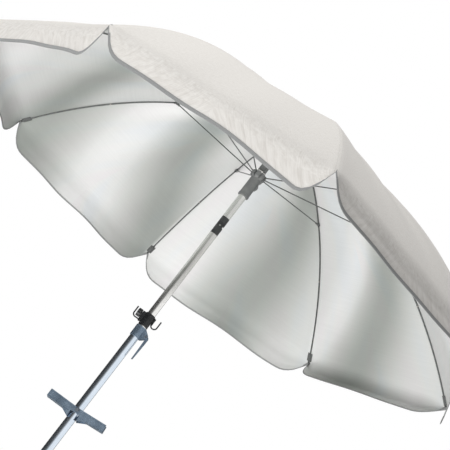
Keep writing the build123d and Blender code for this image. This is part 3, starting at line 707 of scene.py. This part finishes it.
def tie_path(share, rib):
    """Two turns of a helix about the rib, m + r(cos t c + sin t s), that pass through the cloth, then a
    tail."""
    middle, down_rib, cross, square = (part[0] for part in rib_frame(np.array([share]), rib))
    turn = np.linspace(0.5 * math.pi, 4.5 * math.pi, 57)[:, None]
    helix = middle + 0.0036 * (np.cos(turn) * cross + np.sin(turn) * square) + down_rib * turn * 0.00018
    fall = np.linspace(0, 1, 12)[1:, None]
    sink = -0.0012 - 0.011 * fall**1.5
    tail = helix[-1] + cross * 0.004 * fall + square * sink + down_rib * 0.003 * fall
    return np.concatenate([helix[6:-8], tail - tail[0] + helix[-9]])


thread = Finish("waxed_thread", Roughness=0.7)
twist = thread.wave(thread.place(), 900, "Z", 2.0)
thread.colour(thread.ramp(twist, (0.2, (0.50, 0.47, 0.42)), (0.8, (0.68, 0.65, 0.60))))
thread.relief(twist, 0.3, 0.0002)
for number in rib_numbers:
    points, faces = [], []
    for share in tie_shares:
        ring_points, ring_faces = swept_thread(tie_path(share, number - 1), thread_radius)
        faces += [[vertex + len(points) for vertex in face] for face in ring_faces]
        points += ring_points.tolist()
    mesh = bpy.data.meshes.new(f"rib_tie_{number}")
    mesh.from_pydata(points, [], faces)
    mesh.polygons.foreach_set("use_smooth", np.ones(len(faces), bool))
    mesh.materials.append(thread.material)
    tie = bpy.data.objects.new(f"rib_tie_{number}", mesh)
    bpy.context.scene.collection.objects.link(tie)
    trims[number].append(tie)


# ---- How the canopy moves ----
# Each piece of cloth goes with its rib.
# The tape, the pocket and the ties are sewn to that cloth.
for number in rib_numbers:
    cloth, tape = cloths[number], trims[number][0]
    for piece in (cloth, *trims[number]):
        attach(piece, f"rib_{number}")
    for piece in (cloth, tape):
        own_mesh(piece)
    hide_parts(f"canopy_panel_{number}")


# ---- Floor and studio ----
# A plain pale round floor that the low lamp shines through, a white surround, and two large soft lamps. The
# light of the surround is strong on the right and weak on the left, which gives the tubes a highlight.
floor_radius = 2.3
floor_mesh = bpy.data.meshes.new("floor")
turn = np.linspace(0, 2 * math.pi, 97)[:-1]
ring = np.stack([floor_radius * np.cos(turn), floor_radius * np.sin(turn), 0 * turn - 0.001], axis=-1)
floor_mesh.from_pydata(ring.tolist(), [], [list(range(96))])
floor = bpy.data.objects.new("floor", floor_mesh)
bpy.context.scene.collection.objects.link(floor)
pale = Finish("pale_floor", Roughness=0.9)
pale.colour((0.80, 0.80, 0.79, 1))
floor.data.materials.append(pale.material)
floor.visible_shadow = False

world = bpy.data.worlds.new("studio")
bpy.context.scene.world = world
world.use_nodes = True
surround = world.node_tree
background = surround.nodes["Background"]
coords = surround.nodes.new("ShaderNodeTexCoord")
facing = surround.nodes.new("ShaderNodeVectorMath")
facing.operation = "DOT_PRODUCT"
surround.links.new(coords.outputs["Generated"], facing.inputs[0])
facing.inputs[1].default_value = direction(math.radians(-18), 0)
upright = surround.nodes.new("ShaderNodeSeparateXYZ")
surround.links.new(coords.outputs["Generated"], upright.inputs[0])


def surround_ramp(value, *stops):
    """A grey ramp of a value from -1 to 1, given as (value, level) stops."""
    half = surround.nodes.new("ShaderNodeMapRange")
    half.inputs["From Min"].default_value = -1
    surround.links.new(value, half.inputs["Value"])
    spread = surround.nodes.new("ShaderNodeValToRGB")
    points = spread.color_ramp.elements
    while len(points) < len(stops):
        points.new(0.5)
    for point, (place, level) in zip(points, stops):
        point.position = (place + 1) / 2
        point.color = (level, level, level, 1)
    surround.links.new(half.outputs[0], spread.inputs[0])
    return spread.outputs[0]


sideways = surround_ramp(facing.outputs["Value"], (-1, 0.05), (-0.2, 0.10), (0.2, 0.34), (0.6, 1.1))
by_height = surround_ramp(upright.outputs["Z"], (-0.1, 0.5), (0.05, 1.0), (0.45, 1.0), (0.65, 0.22))
product = surround.nodes.new("ShaderNodeVectorMath")
product.operation = "MULTIPLY"
surround.links.new(sideways, product.inputs[0])
surround.links.new(by_height, product.inputs[1])
surround.links.new(product.outputs[0], background.inputs["Color"])
path = surround.nodes.new("ShaderNodeLightPath")
softened = surround.nodes.new("ShaderNodeMapRange")
softened.inputs["To Min"].default_value = 1.0
softened.inputs["To Max"].default_value = 0.6
surround.links.new(path.outputs["Is Diffuse Ray"], softened.inputs["Value"])
surround.links.new(softened.outputs[0], background.inputs["Strength"])
seen = surround.nodes.new("ShaderNodeBackground")
seen.inputs["Color"].default_value = (1, 1, 1, 1)
seen.inputs["Strength"].default_value = 1.0
either = surround.nodes.new("ShaderNodeMixShader")
surround.links.new(path.outputs["Is Camera Ray"], either.inputs[0])
surround.links.new(background.outputs[0], either.inputs[1])
surround.links.new(seen.outputs[0], either.inputs[2])
surround.links.new(either.outputs[0], surround.nodes["World Output"].inputs[0])


def soft_light(name, azimuth, elevation, distance, size, power, colour=(1, 1, 1)):
    """A square area light that faces the middle of the canopy."""
    lamp = bpy.data.objects.new(name, bpy.data.lights.new(name, "AREA"))
    lamp.data.shape = "SQUARE"
    lamp.data.size = size
    lamp.data.energy = power
    lamp.data.color = colour
    away = direction(math.radians(azimuth), math.radians(elevation))
    lamp.matrix_world = Matrix.Translation(Vector((0, 0, 1.35)) + distance * away) @ away.to_track_quat(
        "Z", "Y"
    ).to_matrix().to_4x4()
    bpy.context.scene.collection.objects.link(lamp)


soft_light("high_front", -145, 52, 6.0, 3.0, 400)
soft_light("low_front", -95, -55, 7.0, 3.5, 470)
bpy.context.scene.view_settings.view_transform = "Standard"
